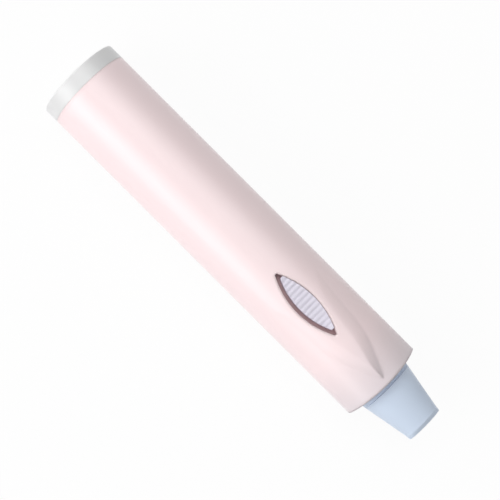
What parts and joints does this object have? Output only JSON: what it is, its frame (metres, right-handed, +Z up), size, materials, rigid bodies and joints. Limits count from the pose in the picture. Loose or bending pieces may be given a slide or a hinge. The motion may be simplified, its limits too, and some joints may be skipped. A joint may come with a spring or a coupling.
{
  "type": "heated eyelash curler",
  "caption": "Pen-shaped heated eyelash curler: pale pink barrel with a leaf-shaped tongue and ribbed almond button, translucent twist cap, tapered head with comb.",
  "frame": {"origin": "middle of the length, on the line the barrel lies on", "axes": "+X runs along the pen from the rear cap to the head, +Z points up through the button, +Y to the side"},
  "size_m": [0.112, 0.0208, 0.0208],
  "materials": {
    "pink_shell": "smooth satin gloss",
    "clear_cap": "translucent, smooth",
    "button_plastic": "soft satin",
    "head_plastic": "satin",
    "contact_steel": "bright plated",
    "cell_can": "smooth sleeve",
    "frame_plastic": "moulded",
    "contact_brass": "stamped",
    "board_green": "solder mask",
    "black_plastic": "moulded",
    "chip_ceramic": "fired",
    "lead_sleeve": "soft sleeve",
    "mica": "sheet mica",
    "warm_plate": "anodised",
    "comb_plastic": "moulded"
  },
  "bodies": {
    "pen": {"barrel": "pink_shell", "head_shell": "head_plastic", "battery_can": "cell_can", "battery_nub": "contact_steel", "chassis": "frame_plastic", "positive_contact": "contact_brass", "negative_strip": "contact_brass", "circuit_board": "board_green", "switch_body": "black_plastic", "switch_disc": "contact_steel", "control_chip": "black_plastic", "chip_parts": "chip_ceramic", "board_screws": "contact_steel", "head_screws": "contact_steel", "lead_wires": "lead_sleeve", "thermal_cutout": "chip_ceramic", "insulator": "mica", "heater_element": "chip_ceramic", "heater_plate": "warm_plate", "comb": "comb_plastic"},
    "push_button": {"button": "button_plastic", "switch_plunger": "frame_plastic"},
    "end_cap": {"rear_cap": "clear_cap", "cap_contact": "contact_steel", "battery_spring": "contact_steel"}
  },
  "joints": [
    {"name": "button_press", "type": "slide", "parent": "pen", "child": "push_button", "axis": [0, 0, -1], "range_m": [0, 0.0006], "stiffness_N_per_m": 900, "springref_m": -0.0003},
    {"name": "cap_twist", "type": "hinge", "parent": "pen", "child": "end_cap", "pos_m": [-0.056, 0, 0.0104], "axis": [1, 0, 0], "range_deg": [0, 45]}
  ]
}
